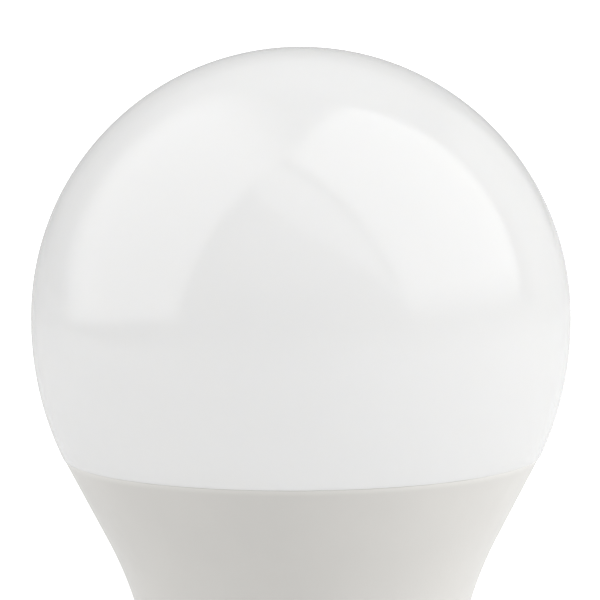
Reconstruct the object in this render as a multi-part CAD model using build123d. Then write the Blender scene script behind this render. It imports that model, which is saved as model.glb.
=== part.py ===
from build123d import *
from math import cos, pi, radians, sin, sqrt, tan
import os

# A screw-cap LED lamp with a radio module: opal globe, plastic-clad aluminium body, E27 cap.
# Millimetres. The lamp's axis is Z, the origin is the tip of the centre contact, the globe is up.

# ---- Envelope ----
overall_height = 112.0
globe_radius = 30.0
globe_wall = 1.2
belt_height = 0.4  # short cylinder between the crown and the lower arc
lower_arc_radius = 35.4
seam_drop = 15.05  # from the widest circle down to the globe's rim
seam_gap = 0.02
seam_step = 0.08  # the globe stands this far proud of the housing
rim_round = 0.06

cone_angle = 27.65  # of the housing wall just under the seam, from vertical
cone_height = 9.2
flare_radius = 42.0  # concave sweep from the cone into the neck
neck_angle = 8.0
collar_z = 25.5  # underside of the housing, where the screw cap starts
collar_round = 1.2
housing_wall = 1.6

crown_z = overall_height - globe_radius
waist_z = crown_z - belt_height
seam_z = waist_z - seam_drop
arc_offset = globe_radius - lower_arc_radius
seam_radius = arc_offset + sqrt(lower_arc_radius**2 - seam_drop**2)

# ---- Globe spigot and the groove that takes it ----
spigot_outer = 23.2
spigot_inner = 22.2
spigot_depth = 2.7
groove_radius = 23.35
ledge_z = seam_z - 3.85
lug_width = 5.0
lug_reach = 0.5

# ---- Screw cap (E27) ----
thread_pitch = 3.629
thread_crest = 13.15
thread_root = 12.05
thread_arc = 1.025  # radius of both the crest and the root
thread_lip = 0.02  # step where the lofted thread meets the turned hem and barrel
shell_wall = 0.45
thread_wall = 0.41
hem_radius = 1.45
hem_z = 5.5
thread_start = hem_z + hem_radius
barrel_z = 20.6
run_in = 1.6  # height over which the thread rises from the hem
run_out = 2.2  # and fades into the barrel
barrel_top = collar_z - 0.2
contact_head = 3.9
contact_round = 0.95
dent_count = 12
dent_z = 24.0
dent_ball = 1.05
dent_offset = 0.6  # of the ball's centre outside the barrel
stake_radius = 12.05  # floor of the housing's groove that the dents bite into
stake_half = 1.25
wire_groove = 0.95

plug_radius = 11.35
plug_bore = 9.85
plug_bottom = 8.6
plug_seat_radius = 12.6
plug_seat_z = 21.3
floor_z = 27.3

# ---- Heat sink, LED board and liner ----
sink_inset = 1.68
sink_wall = 1.0
sink_bottom = 37.0
plate_top = 61.3
plate_thickness = 1.5
pad_thickness = 0.16
pad_radius = 19.6
led_board_bottom = 61.5
led_board_thickness = 1.0
led_board_radius = 20.5
led_board_top = led_board_bottom + led_board_thickness
rib_count = 6
rib_first = 15.0
rib_width = 3.0

liner_inset = 2.78
liner_wall = 0.7
liner_top = 59.3
liner_bottom = 27.5
rail_depth = 1.4

screw_x = 11.4
screw_shank = 1.25
screw_hole = 1.3
screw_head = 2.2
screw_head_height = 1.5
screw_length = 5.5

# ---- Driver board ----
board_thickness = 1.2
board_half = board_thickness / 2
board_inset = 3.9
board_bottom = 10.5
board_neck_z = 28.6
board_top = 58.0
board_tail_width = 8.6
board_reach = 16.6  # half the width its upper corners are cut to

# ---- Radio board ----
radio_y = 4.0  # face towards the driver board
radio_thickness = 0.8
radio_width = 15.0
radio_bottom = 50.5
radio_top = 75.0
radio_back = radio_y + radio_thickness

radio_pin_pitch = 2.0
radio_pin_count = 6
radio_pin_z = 52.0
shield_z = (53.4, 59.4)
shield_depth = 1.9
shield_half = 6.2
shield_wall = 0.2
antenna_step = 1.6
antenna_legs = 8
antenna_trace = 0.7

# ---- Header between the driver and the LED board ----
header_y = -3.3
header_pitch = 2.54
header_count = 5
pin_size = 0.6
pin_clearance = 0.05
lead_radius = 0.3
drill_radius = 0.4

# ---- Light sources ----
white_ring_radius = 15.9
white_led = (3.5, 2.8, 0.7)
white_window = (2.7, 2.0)
white_window_depth = 0.45
whites_per_tone = 12
colour_ring = (60, 120, 240, 300)  # degrees
colour_ring_radius = 10.0
colour_led = 5.0
colour_led_height = 1.4
colour_lens_radius = 2.0
mount_gap = 0.02  # under a component that sits on a surface

# ---- Components on the driver board ----
front = -board_half
bulk_can = {"x": -5.0, "y": -5.4, "radius": 4.0, "z": (31.0, 43.4)}
output_can = {"x": 5.4, "y": -4.6, "radius": 3.15, "z": (29.8, 38.4)}
can_lead = 1.25  # from the can's axis
can_lead_drop = 0.9  # below the can before a lead turns into the board
film_box = {"x": (-11.6, -2.2), "y": (-5.6, -0.75), "z": (47.2, 56.0)}
trafo_x = 5.6
trafo_z = 52.0
trafo_y = front - 5.15
core_size = (10.0, 6.5, 8.2)
core_wall = (1.4, 1.3)  # beside and above the window
limb = (2.1, 2.4)  # section of the core's centre limb, in Y and Z
bobbin_half = 3.5
winding_half = 2.8
choke_x = 6.0
choke_z = 42.6
choke_radius = 3.3
choke_waist = 1.5
choke_depth = 6.0
choke_flange = 0.9
fuse_x = 3.8
fuse_y = -2.9
fuse_z = 18.4
fuse_lead_z = 25.6
lead_tail = 1.0  # beyond the board's back face
varistor_x = -3.4
varistor_z = 22.0
varistor_radius = 3.3
varistor_depth = 2.7
packages = {
    "bridge_rectifier": {"x": -3.5, "z": 35.0, "width": 3.9, "height": 4.7, "thickness": 2.5},
    "power_chip": {"x": 5.0, "z": 36.0, "width": 3.9, "height": 4.9, "thickness": 1.6},
    "dimmer_chip": {"x": -4.5, "z": 45.0, "width": 3.9, "height": 4.9, "thickness": 1.6},
}
leg_rows = {"bridge_rectifier": (2, 2.5), "power_chip": (4, 1.27), "dimmer_chip": (4, 1.27)}
leg_size = (1.3, 0.1, 0.4)
chip_resistor = (3.0, 1.6, 0.6)
chip_capacitor = (2.0, 1.3, 1.2)
resistor_spots = (  # (x, z) on the back of the board
    (0.6, 31.5),
    (0.6, 34.2),
    (9.5, 40.0),
    (6.0, 45.4),
    (1.6, 45.4),
    (-9.5, 40.0),
    (0.0, 24.2),
)
capacitor_spots = ((0.8, 38.0), (9.8, 46.4), (-9.5, 44.0), (-0.5, 41.5), (4.0, 21.6))


# ---- Helpers ----
def flat(point):
    """A (radius, height) pair as a point of the XZ plane."""
    return Vector(point[0], 0, point[1])


def turned(start, *steps):
    """A solid turned about Z from a closed outline of (radius, height) points.
    A step made of two points is an arc through the first to the second."""
    edges = []
    here = start
    for step in steps:
        if isinstance(step[0], tuple):
            through, end = step
            edges.append(Edge.make_three_point_arc(flat(here), flat(through), flat(end)))
        else:
            end = step
            edges.append(Edge.make_line(flat(here), flat(end)))
        here = end
    if here != start:
        edges.append(Edge.make_line(flat(here), flat(start)))
    return revolve(Face(Wire(edges)), Axis.Z)


def block(x, y, z):
    """A box from its (low, high) pairs."""
    size = Box(x[1] - x[0], y[1] - y[0], z[1] - z[0])
    return Pos((x[0] + x[1]) / 2, (y[0] + y[1]) / 2, (z[0] + z[1]) / 2) * size


def rod(radius, low, high, x=0.0, y=0.0):
    """An upright cylinder between two heights."""
    return Pos(x, y, (low + high) / 2) * Cylinder(radius, high - low)


def cross_rod(radius, low, high, x, z):
    """A cylinder along Y between two depths."""
    return Pos(x, (low + high) / 2, z) * Rot(90, 0, 0) * Cylinder(radius, high - low)


def rounded(shape, radius):
    """A block with its four upright edges rounded."""
    return fillet(shape.edges().filter_by(Axis.Z), radius)


def group(shapes):
    """Several separate solids that share one node."""
    return Compound(children=[solid for shape in shapes for solid in shape.solids()])


def cross_arms(width, height):
    """Two crossed beams, for four features a quarter turn apart."""
    return Box(80, width, height) + Box(width, 80, height)


def ring_places(count, radius, first=0.0):
    """Places evenly spaced on a circle, each turned to face outwards."""
    return [Rot(0, 0, first + 360 * i / count) * Pos(radius, 0, 0) for i in range(count)]


# ---- Body wall: neck, flare and cone, offset inwards by an inset ----
def flare_point(angle, inset):
    """The wall's point where it leans by angle from vertical."""
    foot_r = seam_radius - seam_step - cone_height * tan(radians(cone_angle))
    foot_z = seam_z - cone_height
    a0 = radians(cone_angle)
    a = radians(angle)
    centre_r = foot_r + flare_radius * cos(a0)
    centre_z = foot_z - flare_radius * sin(a0)
    reach = flare_radius + inset
    return centre_r - reach * cos(a), centre_z + reach * sin(a)


def cone_radius(z, inset=0.0):
    r, foot = flare_point(cone_angle, inset)
    return r + (z - foot) * tan(radians(cone_angle))


def neck_radius(z, inset=0.0):
    r, top = flare_point(neck_angle, inset)
    return r - (top - z) * tan(radians(neck_angle))


def wall_up(inset, bottom, top):
    """Outline steps up the wall, from a height in the neck to a height in the cone."""
    middle = (neck_angle + cone_angle) / 2
    return (
        (neck_radius(bottom, inset), bottom),
        flare_point(neck_angle, inset),
        (flare_point(middle, inset), flare_point(cone_angle, inset)),
        (cone_radius(top, inset), top),
    )


def wall_down(inset, top, bottom):
    """The same steps from the cone down to the neck."""
    middle = (neck_angle + cone_angle) / 2
    return (
        (cone_radius(top, inset), top),
        flare_point(cone_angle, inset),
        (flare_point(middle, inset), flare_point(neck_angle, inset)),
        (neck_radius(bottom, inset), bottom),
    )


def wall_shell(outer, inner, bottom, top):
    """A liner that follows the body wall between two insets."""
    return turned(*wall_up(outer, bottom, top), *wall_down(inner, top, bottom))


# ---- Globe and seal ----
def lower_arc(z, inset=0.0):
    """Radius of the globe's lower arc at a height."""
    return arc_offset + sqrt((lower_arc_radius - inset) ** 2 - (waist_z - z) ** 2)


def crown_arc(inset):
    """The 45 degree point of the crown, for a three-point arc."""
    reach = (globe_radius - inset) * sqrt(0.5)
    return reach, crown_z + reach


def globe():
    rim = seam_z + seam_gap / 2
    shelf = rim + globe_wall
    tip = rim - spigot_depth
    half_way = (waist_z + rim) / 2
    inner = globe_radius - globe_wall
    dome = turned(
        (0, overall_height),
        (crown_arc(0), (globe_radius, crown_z)),
        (globe_radius, waist_z),
        ((lower_arc(half_way), half_way), (lower_arc(rim + rim_round), rim + rim_round)),
        (lower_arc(rim) - rim_round, rim),
        (spigot_outer, rim),
        (spigot_outer, tip + rim_round),
        (spigot_outer - rim_round, tip),
        (spigot_inner, tip),
        (spigot_inner, shelf),
        (lower_arc(shelf, globe_wall), shelf),
        ((lower_arc(half_way, globe_wall), half_way), (inner, waist_z)),
        (inner, crown_z),
        (crown_arc(globe_wall), (0, overall_height - globe_wall)),
    )
    lug_bottom = tip + 0.3
    wedge = turned(
        (spigot_outer - 0.2, lug_bottom),
        (spigot_outer + 0.1, lug_bottom),
        (spigot_outer + lug_reach, lug_bottom + 0.7),
        (spigot_outer + lug_reach, lug_bottom + 0.9),
        (spigot_outer - 0.2, lug_bottom + 0.9),
    )
    return dome + (wedge & (Pos(0, 0, lug_bottom) * cross_arms(lug_width, 10)))


def globe_seal():
    """Cured silicone between the spigot's tip and the housing's ledge."""
    low = ledge_z + 0.02
    high = seam_z + seam_gap / 2 - spigot_depth - 0.02
    belly = (low + high) / 2
    return turned(
        (spigot_inner + 0.35, low),
        (groove_radius - 0.05, low),
        (groove_radius - 0.05, high),
        (spigot_inner + 0.35, high),
        ((spigot_inner + 0.1, belly), (spigot_inner + 0.35, low)),
    )


# ---- Housing ----
def housing():
    rim = seam_z - seam_gap / 2
    corner = collar_z + collar_round
    slant = radians(neck_angle)
    corner_mid = (
        neck_radius(corner) - collar_round * (1 - cos((pi / 2 - slant) / 2)),
        corner - collar_round * sin((pi / 2 - slant) / 2) * 1.05,
    )
    shape = turned(
        (plug_bore, plug_bottom),
        (plug_radius - 0.5, plug_bottom),
        (plug_radius, plug_bottom + 0.5),
        (plug_radius, plug_seat_z - 0.6),
        (plug_seat_radius, plug_seat_z),
        (plug_seat_radius, dent_z - stake_half),
        (stake_radius, dent_z - stake_half + 0.3),
        (stake_radius, dent_z + stake_half - 0.3),
        (plug_seat_radius, dent_z + stake_half),
        (plug_seat_radius, collar_z),
        (neck_radius(corner) - collar_round, collar_z),
        (corner_mid, (neck_radius(corner), corner)),
        *wall_up(0, corner, rim - rim_round)[1:],
        (cone_radius(rim) - rim_round, rim),
        (groove_radius, rim),
        (groove_radius, ledge_z),
        *wall_down(housing_wall, ledge_z, floor_z),
        (plug_bore, floor_z),
    )
    # pockets for the globe's snap lugs, hidden behind the rim
    pocket_low = seam_z - spigot_depth + 0.2
    pocket = turned(
        (groove_radius - 0.2, pocket_low),
        (groove_radius + 0.6, pocket_low),
        (groove_radius + 0.6, pocket_low + 1.4),
        (groove_radius - 0.2, pocket_low + 1.4),
    )
    shape -= pocket & (Pos(0, 0, pocket_low) * cross_arms(lug_width + 0.6, 10))
    # ribs that snap over the heat sink's edge
    rib_low = plate_top + 0.1
    rib_root = cone_radius(rib_low, housing_wall) + 0.3
    rib = turned(
        (rib_root - 0.85, rib_low),
        (rib_root, rib_low),
        (cone_radius(ledge_z, housing_wall) + 0.3, ledge_z),
        (rib_root - 0.3, ledge_z),
    )
    for place in ring_places(rib_count, groove_radius, first=rib_first):
        shape += rib & (Pos(0, 0, rib_low) * place * Box(10, rib_width, 10))
    # groove for the neutral wire, down the outside of the plug
    groove = block((-plug_radius - 1, -plug_radius + wire_groove), (-0.6, 0.6), (plug_bottom - 1, 15.0))
    return shape - groove


# ---- Screw cap ----
def knuckle(distance):
    """Radius of the rounded thread at an axial distance from a crest: two equal tangent arcs."""
    half = thread_pitch / 2
    along = abs((distance + half) % thread_pitch - half)
    if along < half / 2:
        return thread_crest - thread_arc + sqrt(thread_arc**2 - along**2)
    return thread_root + thread_arc - sqrt(thread_arc**2 - (half - along) ** 2)


def ease(share):
    share = max(0.0, min(1.0, share))
    return share * share * (3 - 2 * share)


def thread_radius(turn, z):
    """Radius of the rolled shell at a share of a turn; the thread fades in and out at its ends."""
    top = thread_crest - thread_lip
    bottom = thread_root + thread_lip
    radius = knuckle(z - thread_pitch * turn)
    radius = top + (radius - top) * ease((barrel_z - z) / run_out)
    return bottom + (radius - bottom) * ease((z - thread_start) / run_in)


def thread_core(inset, around=36, rows=40):
    """A solid threaded plug, lofted through closed splines that share their knots."""
    turns = [i / around for i in range(around + 1)]
    wires = []
    for row in range(rows + 1):
        z = thread_start + (barrel_z - thread_start) * row / rows
        points = []
        for turn in turns[:-1]:
            radius = thread_radius(turn, z) - inset
            points.append(Vector(radius * cos(2 * pi * turn), radius * sin(2 * pi * turn), z))
        wires.append(Wire([Edge.make_spline(points, periodic=True, parameters=turns)]))
    return Solid.make_loft(wires)


def screw_shell():
    centre_r = thread_root - hem_radius
    inner_hem = hem_radius - shell_wall
    bend = sqrt(0.5)
    hem = turned(
        (centre_r - 0.5, hem_z),
        (centre_r, hem_z),
        (
            (centre_r + hem_radius * bend, thread_start - hem_radius * bend),
            (thread_root, thread_start),
        ),
        (thread_root - shell_wall, thread_start),
        (
            (centre_r + inner_hem * bend, thread_start - inner_hem * bend),
            (centre_r, hem_z + shell_wall),
        ),
        (centre_r - 0.5, hem_z + shell_wall),
    )
    thread = thread_core(0) - thread_core(thread_wall)
    barrel = rod(thread_crest, barrel_z, barrel_top)
    barrel -= rod(thread_crest - shell_wall, barrel_z, barrel_top)
    # each staking dent bulges inwards, so its bump starts at the middle of the sheet
    middle = rod(thread_crest - shell_wall / 2, barrel_z, barrel_top)
    places = [Pos(0, 0, dent_z) * p for p in ring_places(dent_count, thread_crest + dent_offset)]
    for place in places:
        barrel += (place * Sphere(dent_ball + shell_wall)) & middle
    for place in places:
        barrel -= place * Sphere(dent_ball)
    return hem + thread + barrel


def cap_insulator():
    hole = 1.35
    return turned(
        (hole, 1.4),
        (4.9, 1.4),
        (5.5, 1.9),
        (6.6, 3.1),
        (7.6, 3.4),
        (9.95, 5.3),
        (9.95, 6.05),
        (10.9, 6.05),
        (10.9, 7.1),
        (8.7, 7.1),
        (4.4, 3.6),
        (2.7, 3.6),
        (2.7, 6.2),
        (hole, 6.2),
    )


def centre_contact():
    """A nail with a flat-tipped, rounded head and a pointed shank."""
    bend = sqrt(0.5)
    return turned(
        (0, 0),
        (contact_head - contact_round, 0),
        (
            (contact_head - contact_round * (1 - bend), contact_round * (1 - bend)),
            (contact_head, contact_round),
        ),
        (contact_head, 1.35),
        (1.25, 1.35),
        (1.25, 7.0),
        (0.5, 7.9),
        (0, 7.9),
    )


def wire_along(points, radius):
    """A round wire swept through points."""
    path = Edge.make_spline([Vector(*p) for p in points])
    section = Plane(origin=path @ 0, z_dir=path % 0) * Circle(radius)
    return sweep(section, path=path)


def live_wire():
    return wire_along(
        [(fuse_x, fuse_y, 12.45), (3.5, -2.6, 10.6), (2.5, -1.3, 8.9), (2.0, 0.1, 7.2)],
        0.55,
    )


def neutral_wire():
    """From the board's tail, round the plug's mouth and up the groove in its outside."""
    out = -plug_radius + 0.4
    return wire_along(
        [
            (-4.4, -1.0, 12.2),
            (-5.0, -0.9, 9.6),
            (-7.0, -0.4, 7.9),
            (-9.3, -0.1, 7.7),
            (out + 0.3, 0, 8.2),
            (out, 0, 9.4),
            (out, 0, 11.7),
            (out, 0, 14.0),
        ],
        0.36,
    )


# ---- Heat sink, liner and LED board ----
def radio_slot(gap, low, high):
    half = radio_width / 2 + gap
    return block((-half, half), (radio_y - gap, radio_back + gap), (low, high))


def header_window(gap, low, high):
    half = header_pitch * (header_count - 1) / 2 + pin_size / 2 + gap
    y = (header_y - pin_size / 2 - gap, header_y + pin_size / 2 + gap)
    return block((-half, half), y, (low, high))


def screw_pair(radius, low, high):
    return rod(radius, low, high, x=screw_x) + rod(radius, low, high, x=-screw_x)


def heat_sink():
    underside = plate_top - plate_thickness
    inner = sink_inset + sink_wall
    cup = turned(
        *wall_up(sink_inset, sink_bottom, plate_top),
        (0, plate_top),
        (0, underside),
        *wall_down(inner, underside, sink_bottom),
    )
    cup += screw_pair(2.3, underside - 2.5, underside + 0.1)
    cup -= screw_pair(screw_hole, underside - 3, plate_top + 1)
    cup -= radio_slot(0.8, underside - 1, plate_top + 1)
    cup -= header_window(0.9, underside - 1, plate_top + 1)
    return cup


def thermal_pad():
    low = plate_top + 0.02
    pad = rod(pad_radius, low, low + pad_thickness)
    pad -= screw_pair(2.4, low - 1, low + 1)
    pad -= radio_slot(1.0, low - 1, low + 1)
    return pad - header_window(1.1, low - 1, low + 1)


def driver_liner():
    """Insulating sleeve round the driver board, with two pairs of guide rails."""
    shell = wall_shell(liner_inset, liner_inset + liner_wall, liner_bottom, liner_top)
    inner = liner_inset + liner_wall
    band = wall_shell(inner - 0.1, inner + rail_depth, liner_bottom + 2, liner_top - 2)
    for side in (1, -1):
        y = sorted((side * (board_half + 0.12), side * (board_half + 1.0)))
        shell += band & block((-40, 40), y, (0, 100))
    return shell


def led_board():
    low = led_board_bottom
    high = led_board_top
    board = rod(led_board_radius, low, high)
    board -= screw_pair(screw_hole + 0.15, low - 1, high + 1)
    board -= radio_slot(0.4, low - 1, high + 1)
    for x in header_columns():
        board -= rod(drill_radius + 0.05, low - 1, high + 1, x=x, y=header_y)
    for place in ring_places(2, led_board_radius, first=90):
        board -= Pos(0, 0, led_board_bottom) * place * Cylinder(1.2, 4)
    return board


def led_board_screws():
    """Pan-head screws with a cross recess, threaded into the heat sink's bosses."""
    top = led_board_top + 0.02
    screws = []
    for x in (screw_x, -screw_x):
        head = Pos(x, 0, top) * turned(
            (0, 0),
            (screw_head, 0),
            (screw_head, 0.6),
            ((screw_head * 0.75, 1.25), (0, screw_head_height)),
        )
        shank = rod(screw_shank, top - screw_length, top, x=x)
        cross = block((x - 1.2, x + 1.2), (-0.25, 0.25), (top + 0.7, top + 2))
        cross += block((x - 0.25, x + 0.25), (-1.2, 1.2), (top + 0.7, top + 2))
        screws.append(head + shank - cross)
    return group(screws)


# ---- Light sources ----
def white_places(first):
    lift = Pos(0, 0, led_board_top + mount_gap)
    return [lift * p for p in ring_places(whites_per_tone, white_ring_radius, first)]


def standing(length, width, height):
    """A box that stands on the origin."""
    return Box(length, width, height, align=(Align.CENTER, Align.CENTER, Align.MIN))


def white_window_box(height):
    return Pos(0, 0, white_led[2] - height) * standing(*white_window, height)


def white_leds(first):
    body = standing(*white_led)
    body -= white_window_box(white_window_depth)
    return group([place * body for place in white_places(first)])


def phosphor(first):
    fill = Pos(0, 0, -0.04) * white_window_box(white_window_depth - 0.06)
    return group([place * fill for place in white_places(first)])


def colour_places():
    """Places on the inner circle, all square to the board's X and Y."""
    lift = Pos(0, 0, led_board_top + mount_gap)
    out = Pos(colour_ring_radius, 0, 0)
    return [lift * Rot(0, 0, a) * out * Rot(0, 0, -a) for a in colour_ring]


def colour_leds():
    body = standing(colour_led, colour_led, colour_led_height)
    body -= rod(colour_lens_radius, colour_led_height - 0.9, colour_led_height + 1)
    return group([place * body for place in colour_places()])


def colour_led_lenses():
    lens = rod(colour_lens_radius - 0.02, colour_led_height - 0.88, colour_led_height - 0.05)
    return group([place * lens for place in colour_places()])


# ---- Connections between the boards ----
def header_columns():
    start = -header_pitch * (header_count - 1) / 2
    return [start + header_pitch * i for i in range(header_count)]


def header_block(low, high, depth, y):
    half = header_pitch * header_count / 2
    shape = rounded(block((-half, half), (y - depth / 2, y + depth / 2), (low, high)), 0.3)
    hole = pin_size / 2 + pin_clearance
    for x in header_columns():
        shape -= block((x - hole, x + hole), (header_y - hole, header_y + hole), (low - 1, high + 1))
    return shape


def led_header():
    return header_block(led_board_top + 0.02, led_board_top + 2.5, 2.5, header_y)


def driver_socket():
    """Reaches back to the driver board, which it is soldered to."""
    depth = abs(header_y) - board_half + 1.25
    return header_block(56.7, 59.4, depth, -board_half - depth / 2 - 0.02)


def led_header_pins():
    half = pin_size / 2
    pins = []
    y = (header_y - half, header_y + half)
    for x in header_columns():
        pin = block((x - half, x + half), y, (57.3, 60.0))
        pin += rod(drill_radius - 0.02, 59.9, led_board_top, x=x, y=header_y)
        pin += block((x - half, x + half), y, (led_board_top - 0.1, led_board_top + 4.2))
        pins.append(pin)
    return group(pins)


def radio_columns():
    start = -radio_pin_pitch * (radio_pin_count - 1) / 2
    return [start + radio_pin_pitch * i for i in range(radio_pin_count)]


def radio_header():
    half = radio_pin_pitch * radio_pin_count / 2
    y = (board_half + 0.02, radio_y - 0.02)
    shape = block((-half, half), y, (radio_pin_z - 1, radio_pin_z + 1))
    for x in radio_columns():
        shape -= cross_rod(lead_radius + 0.05, 0, 5, x, radio_pin_z)
    return shape


def radio_header_pins():
    """They stop inside the driver board, under the transformer and the film capacitor."""
    low = -board_half + 0.1
    high = radio_back + 0.5
    return group([cross_rod(lead_radius, low, high, x, radio_pin_z) for x in radio_columns()])


# ---- Radio module ----
def radio_board():
    half = radio_width / 2
    board = block((-half, half), (radio_y, radio_back), (radio_bottom, radio_top))
    for x in radio_columns():
        board -= cross_rod(drill_radius, radio_y - 1, radio_back + 1, x, radio_pin_z)
    return board


def radio_shield():
    """A drawn tin can, open towards the board."""
    y = (radio_back + 0.02, radio_back + shield_depth)
    can = block((-shield_half, shield_half), y, shield_z)
    can = fillet(can.edges().filter_by(Axis.Y), 0.5)
    hollow = block(
        (-shield_half + shield_wall, shield_half - shield_wall),
        (y[0] - 1, y[1] - shield_wall),
        (shield_z[0] + shield_wall, shield_z[1] - shield_wall),
    )
    return can - hollow


def radio_chip():
    return block((-2.5, 2.5), (radio_back + 0.02, radio_back + 0.9), (54.0, 58.6))


def radio_antenna():
    """An inverted-F trace: a meander of copper at the top of the board."""
    half = antenna_trace / 2
    low = radio_top - 8.5
    high = radio_top - 0.8
    y = (radio_back + 0.005, radio_back + 0.08)
    left = -antenna_step * (antenna_legs - 1) / 2
    trace = block((left - half, left + half), y, (low - 2.5, high))
    for i in range(1, antenna_legs):
        x = left + antenna_step * i
        bar = high if i % 2 else low + antenna_trace
        trace += block((x - half, x + half), y, (low, high))
        trace += block((x - antenna_step - half, x + half), y, (bar - antenna_trace, bar))
    return trace


# ---- Driver components ----
def can_capacitor(spec):
    """An aluminium electrolytic lying along the board: crimped neck, pressed vent cross on top."""
    low, high = spec["z"]
    r = spec["radius"]
    can = turned(
        (0, low),
        (r - 0.4, low),
        (r, low + 0.4),
        (r, low + 1.1),
        ((r - 0.35, low + 1.5), (r, low + 1.9)),
        (r, high - 0.5),
        ((r - 0.15, high - 0.15), (r - 0.5, high)),
        (0, high),
    )
    vent = block((-r * 0.6, r * 0.6), (-0.12, 0.12), (high - 0.15, high + 1))
    vent += block((-0.12, 0.12), (-r * 0.6, r * 0.6), (high - 0.15, high + 1))
    return Pos(spec["x"], spec["y"], 0) * (can - vent)


def film_capacitor():
    box = block(film_box["x"], film_box["y"], film_box["z"])
    return fillet(box.edges().filter_by(Axis.Y), 0.6)


def around(centre, length, depth, height):
    """A box centred on a point."""
    return Pos(*centre) * Box(length, depth, height)


def trafo_box(length, depth, height):
    return around((trafo_x, trafo_y, trafo_z), length, depth, height)


def transformer_core():
    """Two E halves closed round the bobbin: an outer ring with a centre limb along X."""
    length, depth, height = core_size
    window = (length - 2 * core_wall[0], height - 2 * core_wall[1])
    core = trafo_box(length, depth, height) - trafo_box(window[0], depth + 2, window[1])
    return core + trafo_box(window[0], limb[0], limb[1])


def transformer_bobbin():
    """A square tube round the centre limb with a flange at each end and a pin rail."""
    flange = 0.6
    height = 5.4
    length = 2 * bobbin_half
    shape = trafo_box(length, 3.2, 3.2)
    for side in (1, -1):
        x = trafo_x + side * (bobbin_half - flange / 2)
        shape += around((x, trafo_y, trafo_z), flange, 8.0, height)
    rail_depth_y = 1.7
    shape += around((trafo_x, front - 0.05 - rail_depth_y / 2, trafo_z), length, rail_depth_y, height)
    return shape - trafo_box(length + 2, limb[0] + 0.1, limb[1] + 0.1)


def transformer_winding():
    length = 2 * winding_half
    coil = trafo_box(length, 5.7, 5.2)
    coil = fillet(coil.edges().filter_by(Axis.X), 0.9)
    return coil - trafo_box(length + 2, 3.3, 3.3)


def choke_place():
    """On the choke's axis, which stands off the board's front."""
    return Pos(choke_x, front - 0.4 - choke_depth / 2, choke_z) * Rot(90, 0, 0)


def filter_choke_core():
    half = choke_depth / 2
    drum = turned(
        (0, -half),
        (choke_radius, -half),
        (choke_radius, choke_flange - half),
        (choke_waist, choke_flange - half),
        (choke_waist, half - choke_flange),
        (choke_radius, half - choke_flange),
        (choke_radius, half),
        (0, half),
    )
    return choke_place() * drum


def filter_choke_winding():
    half = choke_depth / 2 - choke_flange - 0.05
    inner = choke_waist + 0.05
    outer = choke_radius - 0.35
    return choke_place() * turned((inner, -half), (outer, -half), (outer, half), (inner, half))


def varistor():
    back = front - 0.9
    disc = cross_rod(varistor_radius, back - varistor_depth, back, varistor_x, varistor_z)
    return fillet(disc.edges(), 0.9)


def fuse_resistor():
    """An axial wire-wound body with end caps; its upper lead turns into the board."""
    body = turned(
        (0, -4.2),
        (1.45, -4.2),
        (1.55, -4.0),
        (1.55, -3.0),
        (1.35, -2.6),
        (1.35, 2.6),
        (1.55, 3.0),
        (1.55, 4.0),
        (1.45, 4.2),
        (0, 4.2),
    )
    part = Pos(fuse_x, fuse_y, fuse_z) * body
    part += rod(lead_radius, 12.5, fuse_lead_z + lead_radius, x=fuse_x, y=fuse_y)
    return part + cross_rod(lead_radius, fuse_y, board_half + lead_tail, fuse_x, fuse_lead_z)


def fuse_sleeve():
    return Pos(fuse_x, fuse_y, 0) * (rod(1.9, 13.6, 23.2) - rod(1.6, 13.0, 24.0))


def chip(x, z, width, height, thickness):
    """A moulded package on the back of the driver board."""
    y = (board_half + 0.12, board_half + thickness)
    return block((x - width / 2, x + width / 2), y, (z - height / 2, z + height / 2))


def chip_legs(spec, count, pitch):
    """Two rows of flat legs that reach past the package's sides onto the board."""
    length, depth, width = leg_size
    y = board_half + 0.01 + depth / 2
    bottom = spec["z"] - pitch * (count - 1) / 2
    legs = []
    for edge in (-1, 1):
        x = spec["x"] + edge * (spec["width"] / 2 + 0.15)
        for i in range(count):
            legs.append(around((x, y, bottom + pitch * i), length, depth, width))
    return legs


def package_legs():
    legs = []
    for name, spec in packages.items():
        legs += chip_legs(spec, *leg_rows[name])
    return group(legs)


def chip_resistors():
    return group([chip(x, z, *chip_resistor) for x, z in resistor_spots])


def chip_capacitors():
    return group([chip(x, z, *chip_capacitor) for x, z in capacitor_spots])


def lead_spots():
    """Where component leads pass the board, as (x, z, how far in front they start)."""
    spots = []
    for can in (bulk_can, output_can):
        for dx in (-can_lead, can_lead):
            spots.append((can["x"] + dx, can["z"][0] - can_lead_drop, -can["y"]))
    for x in (film_box["x"][0] + 1.2, film_box["x"][1] - 1.2):
        spots.append((x, film_box["z"][0] + 1.8, 0.7))
    for dx in (-2.4, 2.4):
        for dz in (-2.0, 2.0):
            spots.append((trafo_x + dx, trafo_z + dz, 0.62))
    for dx in (-1.8, 1.8):
        spots.append((choke_x + dx, choke_z, 0.95))
        spots.append((varistor_x + dx, varistor_z, 1.45))
    return spots


def component_leads():
    back = board_half + lead_tail
    leads = [cross_rod(lead_radius, -reach, back, x, z) for x, z, reach in lead_spots()]
    # the cans' leads turn up into their bases
    for can in (bulk_can, output_can):
        base = can["z"][0]
        for x in (can["x"] - can_lead, can["x"] + can_lead):
            leads.append(rod(lead_radius, base - can_lead_drop, base - 0.01, x=x, y=can["y"]))
    merged = leads[0]
    for lead in leads[1:]:
        merged += lead
    return group([merged])


def soldered_spots():
    return [(x, z) for x, z, _ in lead_spots()] + [(fuse_x, fuse_lead_z)]


def solder_joints():
    """Small cones of solder on the board's back, one round each lead."""
    joints = []
    for x, z in soldered_spots():
        cone = turned((lead_radius + 0.01, 0), (0.85, 0), (0.5, 0.35), (lead_radius + 0.05, 0.8))
        joints.append(Pos(x, board_half + 0.01, z) * Rot(-90, 0, 0) * cone)
    return group(joints)


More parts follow.
